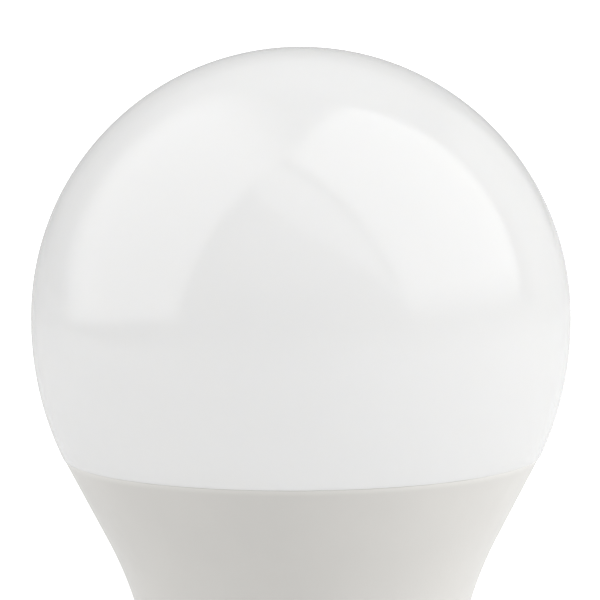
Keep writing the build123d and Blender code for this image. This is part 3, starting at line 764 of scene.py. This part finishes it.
# ---- Wound and canned components ----
def can_capacitor(node):
    """A can in a shrink sleeve that leaves the top's rim bare, with a pressed vent cross."""
    low, high = span(node)
    radius = (high.x - low.x) / 2
    middle = Matrix.Translation(((low.x + high.x) / 2, (low.y + high.y) / 2, 0))
    skin = 0.12
    crimp = low.z + 1.5

    def wall(inset):
        rows = [(radius - inset, low.z + 0.4), (radius - inset, crimp - 0.4)]
        rows += soften([(radius - 0.35 - inset, crimp, 0.35)])
        return rows + [(radius - inset, crimp + 0.4)]

    sleeve = [(radius - 0.7, low.z), (radius - 0.25, low.z), (radius, low.z + 0.25)]
    sleeve += wall(0) + [(radius, high.z - 0.4)]
    sleeve += arc((radius - 0.4, high.z - 0.4), 0.4, 0, 80, 5)
    sleeve += arc((radius - 0.4, high.z - 0.4), 0.4 - skin, 80, 0, 5)
    sleeve += list(reversed(wall(skin))) + [(radius - 0.7, low.z + skin)]
    obj = turned(f"{node}_sleeve", list(reversed(sleeve)), 72, middle)
    finish_piece(obj, sleeve_look(), "capacitor_sleeve", node)

    def vent(angle):
        """The top sinks along a cross pressed into it."""
        arm = min(abs(sin(angle)), abs(cos(angle)))
        return high.z - 0.12 - 0.1 * max(0.0, 1 - arm / 0.12)

    inside = radius - skin - 0.02
    can = [(0, low.z + 0.2), (inside - 0.5, low.z + 0.2), (inside, low.z + 0.6)]
    can += [(inside, crimp - 0.45), (inside - 0.35, crimp), (inside, crimp + 0.45)]
    can += [(inside, high.z - 0.4)] + arc((inside - 0.3, high.z - 0.4), 0.3, 0, 90, 5)
    can += [(inside * 0.84, high.z - 0.1), (inside * 0.8, high.z - 0.12)]
    can += [(inside * 0.6, vent), (inside * 0.3, vent), (0, high.z - 0.2)]
    obj = turned(f"{node}_can", list(reversed(can)), 72, middle, closed=False)
    finish_piece(obj, looks["can_metal"], "capacitor_sleeve")


def ridged(radius, wire, pitch):
    """Radius of a helical winding at an angle and height: round wires side by side."""

    def at(angle, z):
        along = (z - pitch * angle / (2 * pi)) % pitch - pitch / 2
        share = min(1.0, abs(along) / wire)
        return radius - wire + wire * sqrt(1 - share**2 * 0.999)

    return at


def choke_winding():
    """Copper wire wound round the drum, whose axis stands off the board."""
    low, high = span("filter_choke_winding")
    middle = (low + high) / 2
    radius = (high.x - low.x) / 2
    length = high.y - low.y
    wire = 0.2
    turns = 10
    surface = ridged(radius, wire, length / turns)
    steps = turns * 12
    rows = [(radius - 1.0, -length / 2)]
    for i in range(steps + 1):
        z = length * (i / steps - 0.5)
        rows.append((lambda a, z=z: surface(a, z), z))
    rows.append((radius - 1.0, length / 2))
    place = Matrix.Translation(middle) @ Matrix.Rotation(pi / 2, 4, "X")
    obj = turned("choke_coil", list(reversed(rows)), 72, place)
    finish_piece(obj, looks["copper"], "enamelled_copper", "filter_choke_winding")


def squarish(width, height, power=5.0):
    """Radius of a rounded rectangle at an angle."""
    return lambda a: (abs(cos(a) / width) ** power + abs(sin(a) / height) ** power) ** (-1 / power)


def transformer_winding():
    """Yellow tape over copper layers whose last turns show at both ends."""
    low, high = span("transformer_winding")
    middle = (low + high) / 2
    half = (high.x - low.x) / 2
    wide = (high.y - low.y) / 2
    tall = (high.z - low.z) / 2
    place = Matrix.Translation(middle) @ Matrix.Rotation(pi / 2, 4, "Y")
    outline = squarish(tall, wide)
    hole = squarish(1.66, 1.66, 12.0)
    wire = 0.16
    turns = 16
    surface = ridged(0, wire, 2 * half / turns)
    steps = turns * 10
    rows = [(hole, -half)]
    for i in range(steps + 1):
        z = half * (2 * i / steps - 1)
        rows.append((lambda a, z=z: outline(a) - 0.12 + surface(a, z), z))
    rows.append((hole, half))
    obj = turned("transformer_coil", list(reversed(rows)), 96, place)
    finish_piece(obj, looks["copper"], "winding_tape", "transformer_winding")

    # the tape's outer end overlaps its start, which leaves a small step
    def tape(offset):
        return lambda a: outline(a) + offset + 0.05 * (a / (2 * pi)) - 0.08

    reach = half * 0.72
    rows = [(tape(-0.02), -reach), (tape(0.03), -reach), (tape(0.03), reach), (tape(-0.02), reach)]
    obj = turned("transformer_tape", list(reversed(rows)), 96, place)
    finish_piece(obj, looks["tape"], "winding_tape")


def solder_joints():
    """A concave fillet of solder where each lead comes through the driver board."""
    verts = []
    faces = []
    for low, high in islands("solder_joints"):
        middle = (low + high) / 2
        radius = (high.x - low.x) / 2
        height = high.y - low.y
        hole = 0.31
        rows = [(hole, 0), (radius - 0.03, 0), (radius, 0.03)]
        for i in range(1, 9):
            share = i / 8
            rows.append((hole + 0.05 + (radius - hole - 0.05) * (1 - share) ** 2.2, height * share))
        rows.append((hole, height))
        place = Matrix.Translation((middle.x, low.y, middle.z)) @ Matrix.Rotation(-pi / 2, 4, "X")
        part_verts, part_faces = turned_mesh(list(reversed(rows)), 32)
        start = len(verts)
        verts += [place @ Vector(v) for v in part_verts]
        faces += [[start + i for i in face] for face in part_faces]
    obj = link_mesh("solder_fillets", verts, faces)
    finish_piece(obj, looks["solder"], "solder", "solder_joints")


# ---- Looks of the pieces that keep their CAD shape ----
looks = {
    "silicone": plastic_look("seal_silicone", (0.80, 0.80, 0.78), (0.72, 0.72, 0.70), 0.4),
    "red_wire": plastic_look("wire_red", (0.60, 0.04, 0.03), (0.50, 0.03, 0.03), 0.38),
    "blue_wire": plastic_look("wire_blue", (0.03, 0.09, 0.42), (0.02, 0.07, 0.34), 0.38),
    "spun_aluminium": metal_look("spun_aluminium", (0.60, 0.61, 0.62), (0.78, 0.79, 0.80), 0.34),
    "pad": plastic_look("thermal_pad", (0.34, 0.38, 0.44), (0.28, 0.32, 0.37), 0.75, 0.2),
    "liner": plastic_look("natural_plastic", (0.80, 0.78, 0.72), (0.74, 0.72, 0.66), 0.45),
    "led_board": led_board_look(),
    "zinc": metal_look("zinc_plate", (0.56, 0.57, 0.60), (0.72, 0.73, 0.74), 0.3, 0.3),
    "led_body": plastic_look("led_body", (0.86, 0.85, 0.80), (0.80, 0.79, 0.74), 0.3, 0.15),
    "warm": phosphor_look("warm_phosphor", (0.90, 0.45, 0.06), (0.95, 0.58, 0.12)),
    "cool": phosphor_look("cool_phosphor", (0.86, 0.76, 0.12), (0.92, 0.84, 0.28)),
    "clear": clear_look(),
    "black_nylon": plastic_look("black_nylon", (0.016, 0.016, 0.018), (0.03, 0.03, 0.033), 0.45),
    "gold": metal_look("gold_flash", (0.74, 0.54, 0.22), (0.90, 0.70, 0.34), 0.22, 0.3, (1, 1, 5)),
    "radio_board": board_look("radio_mask", (0.008, 0.012, 0.05), (0.02, 0.03, 0.10), 0.9),
    "tin": metal_look("tinned_steel", (0.60, 0.60, 0.60), (0.76, 0.76, 0.75), 0.3, 0.4),
    "antenna": metal_look("antenna_copper", (0.66, 0.40, 0.16), (0.80, 0.55, 0.26), 0.25, 0.3),
    "driver_board": board_look("driver_mask", (0.012, 0.10, 0.035), (0.03, 0.20, 0.07), 1.6),
    "can_metal": metal_look("can_aluminium", (0.66, 0.67, 0.68), (0.82, 0.83, 0.84), 0.26, 0.3),
    "film": plastic_look("film_epoxy", (0.42, 0.05, 0.02), (0.34, 0.04, 0.02), 0.25, 0.4, 0.012),
    "ferrite": plastic_look("ferrite", (0.035, 0.035, 0.04), (0.06, 0.06, 0.065), 0.6, 0.12, 0.02),
    "bobbin": plastic_look("bobbin_phenolic", (0.03, 0.026, 0.022), (0.05, 0.045, 0.04), 0.4),
    "tape": plastic_look("polyester_tape", (0.85, 0.62, 0.06), (0.78, 0.55, 0.05), 0.28, 0.5),
    "copper": copper_look(),
    "varistor": plastic_look("varistor_epoxy", (0.02, 0.10, 0.38), (0.015, 0.08, 0.30), 0.3, 0.4, 0.015),
    "resistor": plastic_look("flameproof_coat", (0.20, 0.30, 0.24), (0.16, 0.25, 0.20), 0.5, 0.2, 0.02),
    "shrink": plastic_look("shrink_sleeve", (0.02, 0.02, 0.02), (0.035, 0.035, 0.035), 0.5, 0.4, 0.01),
    "chip": plastic_look("chip_epoxy", (0.018, 0.018, 0.02), (0.03, 0.03, 0.033), 0.55, 0.1, 0.01),
    "chip_resistor": plastic_look("resistor_glaze", (0.02, 0.02, 0.024), (0.04, 0.04, 0.045), 0.3, 0.2),
    "chip_ceramic": plastic_look("capacitor_ceramic", (0.42, 0.28, 0.16), (0.36, 0.23, 0.13), 0.45, 0.2),
    "solder": metal_look("solder", (0.66, 0.66, 0.68), (0.82, 0.82, 0.83), 0.2, 0.5),
}

kept = {
    "globe_seal": "silicone",
    "live_wire": "red_wire",
    "neutral_wire": "blue_wire",
    "heat_sink": "spun_aluminium",
    "thermal_pad": "pad",
    "driver_liner": "liner",
    "led_board": "led_board",
    "led_board_screws": "zinc",
    "warm_white_leds": "led_body",
    "cool_white_leds": "led_body",
    "colour_leds": "led_body",
    "warm_phosphor": "warm",
    "cool_phosphor": "cool",
    "colour_led_lenses": "clear",
    "led_header": "black_nylon",
    "driver_socket": "black_nylon",
    "radio_header": "black_nylon",
    "led_header_pins": "gold",
    "radio_header_pins": "gold",
    "radio_board": "radio_board",
    "radio_shield": "tin",
    "radio_chip": "chip",
    "radio_antenna": "antenna",
    "driver_board": "driver_board",
    "film_capacitor": "film",
    "transformer_core": "ferrite",
    "filter_choke_core": "ferrite",
    "transformer_bobbin": "bobbin",
    "varistor": "varistor",
    "fuse_resistor": "resistor",
    "fuse_sleeve": "shrink",
    "bridge_rectifier": "chip",
    "power_chip": "chip",
    "dimmer_chip": "chip",
    "package_legs": "tin",
    "component_leads": "tin",
    "chip_resistors": "chip_resistor",
    "chip_capacitors": "chip_ceramic",
}


def dress_cad_nodes():
    for node, look in kept.items():
        obj = nodes[node]
        obj.data.materials.clear()
        obj.data.materials.append(looks[look])
        for polygon in obj.data.polygons:
            polygon.use_smooth = True
        obj.data.set_sharp_from_angle(angle=SHARP_ANGLE)


# ---- Studio ----
camera_distance = 0.9
camera_elevation = radians(7.6)
camera_roll = radians(0.4)
globe_share = 0.9005  # of the frame's width that the globe fills
globe_right = 0.0015  # of the globe's centre from the middle of the frame, in frame widths
globe_down = 0.0277


sensor_width = 36.0

world_light = 0.83
room_levels = (0.59, 0.58)  # what reflections see of the room: behind the lamp, before it
room_turn = (-0.6, 0.4)  # where one changes into the other, along the camera's backward way
floor_half = 6.0
floor_glow = (0.45, 1.0)  # as the camera sees it, under the lamp and far away
floor_glow_reach = (0.12, 0.6)  # metres from the lamp
pool_light = 0.21
pool_shine = 0.13
pool_edge = (0.0, 120.0)  # mm to the lamp's right

box_distance = 0.8
panel_steps = 24
even_fade = (0.25, 0.25, 0.25, 0.25)
# each panel's corners as ways from the globe's centre (right, up, towards the camera), its
# strength, its shine and the fades of its four sides
panels = {
    "softbox_right": (
        [(0.65, 0.03, 0.64), (-0.06, 0.89, 0.35), (0.19, 0.90, -0.19), (1.02, 0.13, -0.30)],
        1.29,
        1.65,
        (0.14, 0.15, 0.12, 0.3),
    ),
    "softbox_left": (
        [(-0.92, -0.02, 0.70), (-0.10, 0.88, 0.36), (-0.25, 0.74, -0.40), (-0.93, -0.02, -0.37)],
        1.13,
        1.5,
        (0.08, 0.4, 0.4, 0.07),
    ),
    "panel_bridge": (
        [(0.62, 0.10, 0.70), (0.00, 0.57, 0.80), (-0.27, 0.72, 0.60), (-0.24, 0.92, 0.28)],
        0.85,
        1.15,
        (0.08, 0.1, 0.1, 0.1),
    ),
    "panel_top": (
        [(-0.45, 0.75, -0.40), (0.30, 0.90, -0.25), (0.60, 0.65, -0.75), (-0.45, 0.55, -0.75)],
        1.19,
        0.62,
        even_fade,
    ),
    "panel_front": (
        [(-0.6, 0.25, 1.2), (0.6, 0.25, 1.2), (0.6, 0.9, 1.0), (-0.6, 0.9, 1.0)],
        1.25,
        0.65,
        even_fade,
    ),
    "panel_right_rear": (
        [(0.9, 0.0, -0.45), (0.9, 0.9, -0.45), (0.5, 0.9, -1.0), (0.5, 0.0, -1.0)],
        0.79,
        0.77,
        even_fade,
    ),
    "panel_left_side": (
        [(-1.0, -0.08, 0.6), (-1.0, 0.6, 0.6), (-1.0, 0.6, -0.3), (-1.0, -0.08, -0.3)],
        0,
        0.36,
        even_fade,
    ),
}
# low side lights on the housing alone: way from the globe's centre in metres, and watts
flank_lights = {
    "flank_right": ((0.48, 0.05, 0.05), 0.74),
    "flank_left": ((-0.48, 0.05, 0.0), 0.35),
}
flank_size = 0.3


def view_axes():
    """The camera's right, up and backward ways."""
    back = Vector((0, -cos(camera_elevation), sin(camera_elevation)))
    right = Vector((1, 0, 0))
    up = back.cross(right)
    return right, up, back


def from_globe(way, distance=1.0):
    """The place that is so far to the right, up and towards the camera from the globe's centre."""
    place = Vector((0, 0, crown_z * MM))
    for axis, amount in zip(view_axes(), way):
        place += axis * amount * distance
    return place


def camera():
    """A long lens that looks at the globe's centre from in front and a little above."""
    right, up, back = view_axes()
    data = bpy.data.cameras.new("camera")
    half_angle = asin(globe_radius * MM / camera_distance)
    data.sensor_width = sensor_width
    data.lens = sensor_width * globe_share / 2 / tan(half_angle)
    data.shift_x = -globe_right
    data.shift_y = globe_down
    data.clip_start = 0.01
    data.clip_end = 50.0
    obj = bpy.data.objects.new("camera", data)
    turn = Matrix((right, up, back)).transposed().to_4x4()
    roll = Matrix.Rotation(-camera_roll, 4, "Z")
    obj.matrix_world = Matrix.Translation(from_globe((0, 0, camera_distance))) @ turn @ roll
    bpy.context.scene.collection.objects.link(obj)
    bpy.context.scene.camera = obj


def panel_mesh(name, corners, fade):
    """A four-cornered sheet with a brightness at each vertex, which fades out towards its first,
    second, third and fourth sides over a share of its width."""
    a, b, c, d = [from_globe(corner, box_distance) for corner in corners]
    verts = []
    levels = []
    for i in range(panel_steps + 1):
        for j in range(panel_steps + 1):
            # each side is pushed out, so that the panel is at half its level on the outline
            u = i / panel_steps * (1 + (fade[1] + fade[3]) / 2) - fade[3] / 2
            v = j / panel_steps * (1 + (fade[0] + fade[2]) / 2) - fade[0] / 2
            verts.append((a * (1 - u) + b * u) * (1 - v) + (d * (1 - u) + c * u) * v)
            level = 1.0
            for margin, share in zip((v, 1 - u, 1 - v, u), fade):
                level *= ease(margin / share + 0.5)
            levels.append(level)
    faces = []
    for i in range(panel_steps):
        for j in range(panel_steps):
            k = i * (panel_steps + 1) + j
            faces.append([k, k + 1, k + panel_steps + 2, k + panel_steps + 1])
    mesh = bpy.data.meshes.new(name)
    mesh.from_pydata(verts, [], faces)
    mesh.attributes.new("level", "FLOAT", "POINT").data.foreach_set("value", levels)
    return mesh


def softbox(name, corners, strength, shine, fade):
    """A glowing panel: strength lights the lamp, and shine is what its reflection shows."""
    mesh = panel_mesh(name, corners, fade)
    obj = bpy.data.objects.new(name, mesh)
    bpy.context.scene.collection.objects.link(obj)
    material = bpy.data.materials.new(name)
    material.use_nodes = True
    tree = material.node_tree
    tree.nodes.clear()
    glow = tree.nodes.new("ShaderNodeEmission")
    power = tree.nodes.new("ShaderNodeMix")
    path = tree.nodes.new("ShaderNodeLightPath")
    tree.links.new(path.outputs["Is Glossy Ray"], power.inputs["Factor"])
    power.inputs["A"].default_value = strength
    power.inputs["B"].default_value = shine
    tree.links.new(power.outputs["Result"], glow.inputs["Strength"])
    level = tree.nodes.new("ShaderNodeAttribute")
    level.attribute_name = "level"
    clear = tree.nodes.new("ShaderNodeBsdfTransparent")
    shown = tree.nodes.new("ShaderNodeMixShader")
    tree.links.new(level.outputs["Fac"], shown.inputs[0])
    tree.links.new(clear.outputs[0], shown.inputs[1])
    tree.links.new(glow.outputs[0], shown.inputs[2])
    output = tree.nodes.new("ShaderNodeOutputMaterial")
    tree.links.new(shown.outputs[0], output.inputs["Surface"])
    mesh.materials.append(material)
    obj.visible_camera = False


def floor():
    """A wide pale floor, a little self-lit so that it stays even."""
    corners = [(x * floor_half, y * floor_half, 0) for x, y in ((-1, -1), (1, -1), (1, 1), (-1, 1))]
    mesh = bpy.data.meshes.new("floor")
    mesh.from_pydata(corners, [], [[0, 1, 2, 3]])
    obj = bpy.data.objects.new("floor", mesh)
    bpy.context.scene.collection.objects.link(obj)
    look = Look("floor_paper", (0.86, 0.86, 0.86), 0.9)
    look.mottle((0.86, 0.86, 0.86), (0.84, 0.84, 0.84), 40.0)
    look.shader.inputs["Specular IOR Level"].default_value = 0.0
    look.shader.inputs["Emission Color"].default_value = (1, 1, 1, 1)
    # the camera sees a bright sheet; what falls on the lamp is a softer pool on its right
    path = look.node("ShaderNodeLightPath")
    pool = look.remap(look.axis("X"), 0, 1, *pool_edge)
    light = look.math("MULTIPLY_ADD", path.outputs["Is Glossy Ray"], pool_shine - pool_light, pool_light)
    glow = look.node("ShaderNodeMix")
    look.join(path.outputs["Is Camera Ray"], glow.inputs["Factor"])
    look.join(look.math("MULTIPLY", pool, light), glow.inputs["A"])
    seen = look.remap(look.vector("LENGTH", look.place), *floor_glow, *floor_glow_reach)
    look.join(seen, glow.inputs["B"])
    look.join(glow.outputs["Result"], look.shader.inputs["Emission Strength"])
    mesh.materials.append(look.material)


def flank_light(name, way, power, lit):
    """A soft side light that reaches only the pieces in one collection."""
    data = bpy.data.lights.new(name, "AREA")
    data.shape = "SQUARE"
    data.size = flank_size
    data.energy = power
    obj = bpy.data.objects.new(name, data)
    obj.location = from_globe(way)
    aim = obj.location - from_globe((0, 0, 0))
    obj.rotation_euler = aim.to_track_quat("Z", "Y").to_euler()
    bpy.context.scene.collection.objects.link(obj)
    obj.visible_glossy = False
    obj.light_linking.receiver_collection = lit


def light_flanks():
    lit = bpy.data.collections.new("flanks")
    lit.objects.link(bpy.data.objects["housing_body"])
    for name, (way, power) in flank_lights.items():
        flank_light(name, way, power, lit)


def world():
    """White for the camera, an even grey room for reflections, soft fill for everything else."""
    made = bpy.data.worlds.new("studio")
    made.use_nodes = True
    tree = made.node_tree
    tree.nodes.clear()
    path = tree.nodes.new("ShaderNodeLightPath")
    seen = tree.nodes.new("ShaderNodeMix")
    gloss = tree.nodes.new("ShaderNodeMix")
    tree.links.new(path.outputs["Is Glossy Ray"], gloss.inputs["Factor"])
    gloss.inputs["A"].default_value = world_light
    # reflected rays see the room: one level on the camera's side, another behind the lamp
    way = tree.nodes.new("ShaderNodeTexCoord")
    along = tree.nodes.new("ShaderNodeVectorMath")
    along.operation = "DOT_PRODUCT"
    along.inputs[1].default_value = view_axes()[2]
    tree.links.new(way.outputs["Generated"], along.inputs[0])
    room = tree.nodes.new("ShaderNodeMapRange")
    room.interpolation_type = "SMOOTHSTEP"
    for key, value in zip(("From Min", "From Max", "To Min", "To Max"), (*room_turn, *room_levels)):
        room.inputs[key].default_value = value
    tree.links.new(along.outputs["Value"], room.inputs["Value"])
    tree.links.new(room.outputs["Result"], gloss.inputs["B"])
    tree.links.new(path.outputs["Is Camera Ray"], seen.inputs["Factor"])
    tree.links.new(gloss.outputs["Result"], seen.inputs["A"])
    seen.inputs["B"].default_value = 1.0
    back = tree.nodes.new("ShaderNodeBackground")
    tree.links.new(seen.outputs["Result"], back.inputs["Strength"])
    output = tree.nodes.new("ShaderNodeOutputWorld")
    tree.links.new(back.outputs[0], output.inputs["Surface"])
    bpy.context.scene.world = made


# ---- The whole lamp and its studio ----
globe()
housing()
screw_shell()
cap_insulator()
centre_contact()
can_capacitor("bulk_capacitor")
can_capacitor("output_capacitor")
choke_winding()
transformer_winding()
solder_joints()
dress_cad_nodes()
camera()
for name, (corners, strength, shine, fade) in panels.items():
    softbox(name, corners, strength, shine, fade)
light_flanks()
floor()
world()
bpy.context.scene.view_settings.view_transform = "Standard"
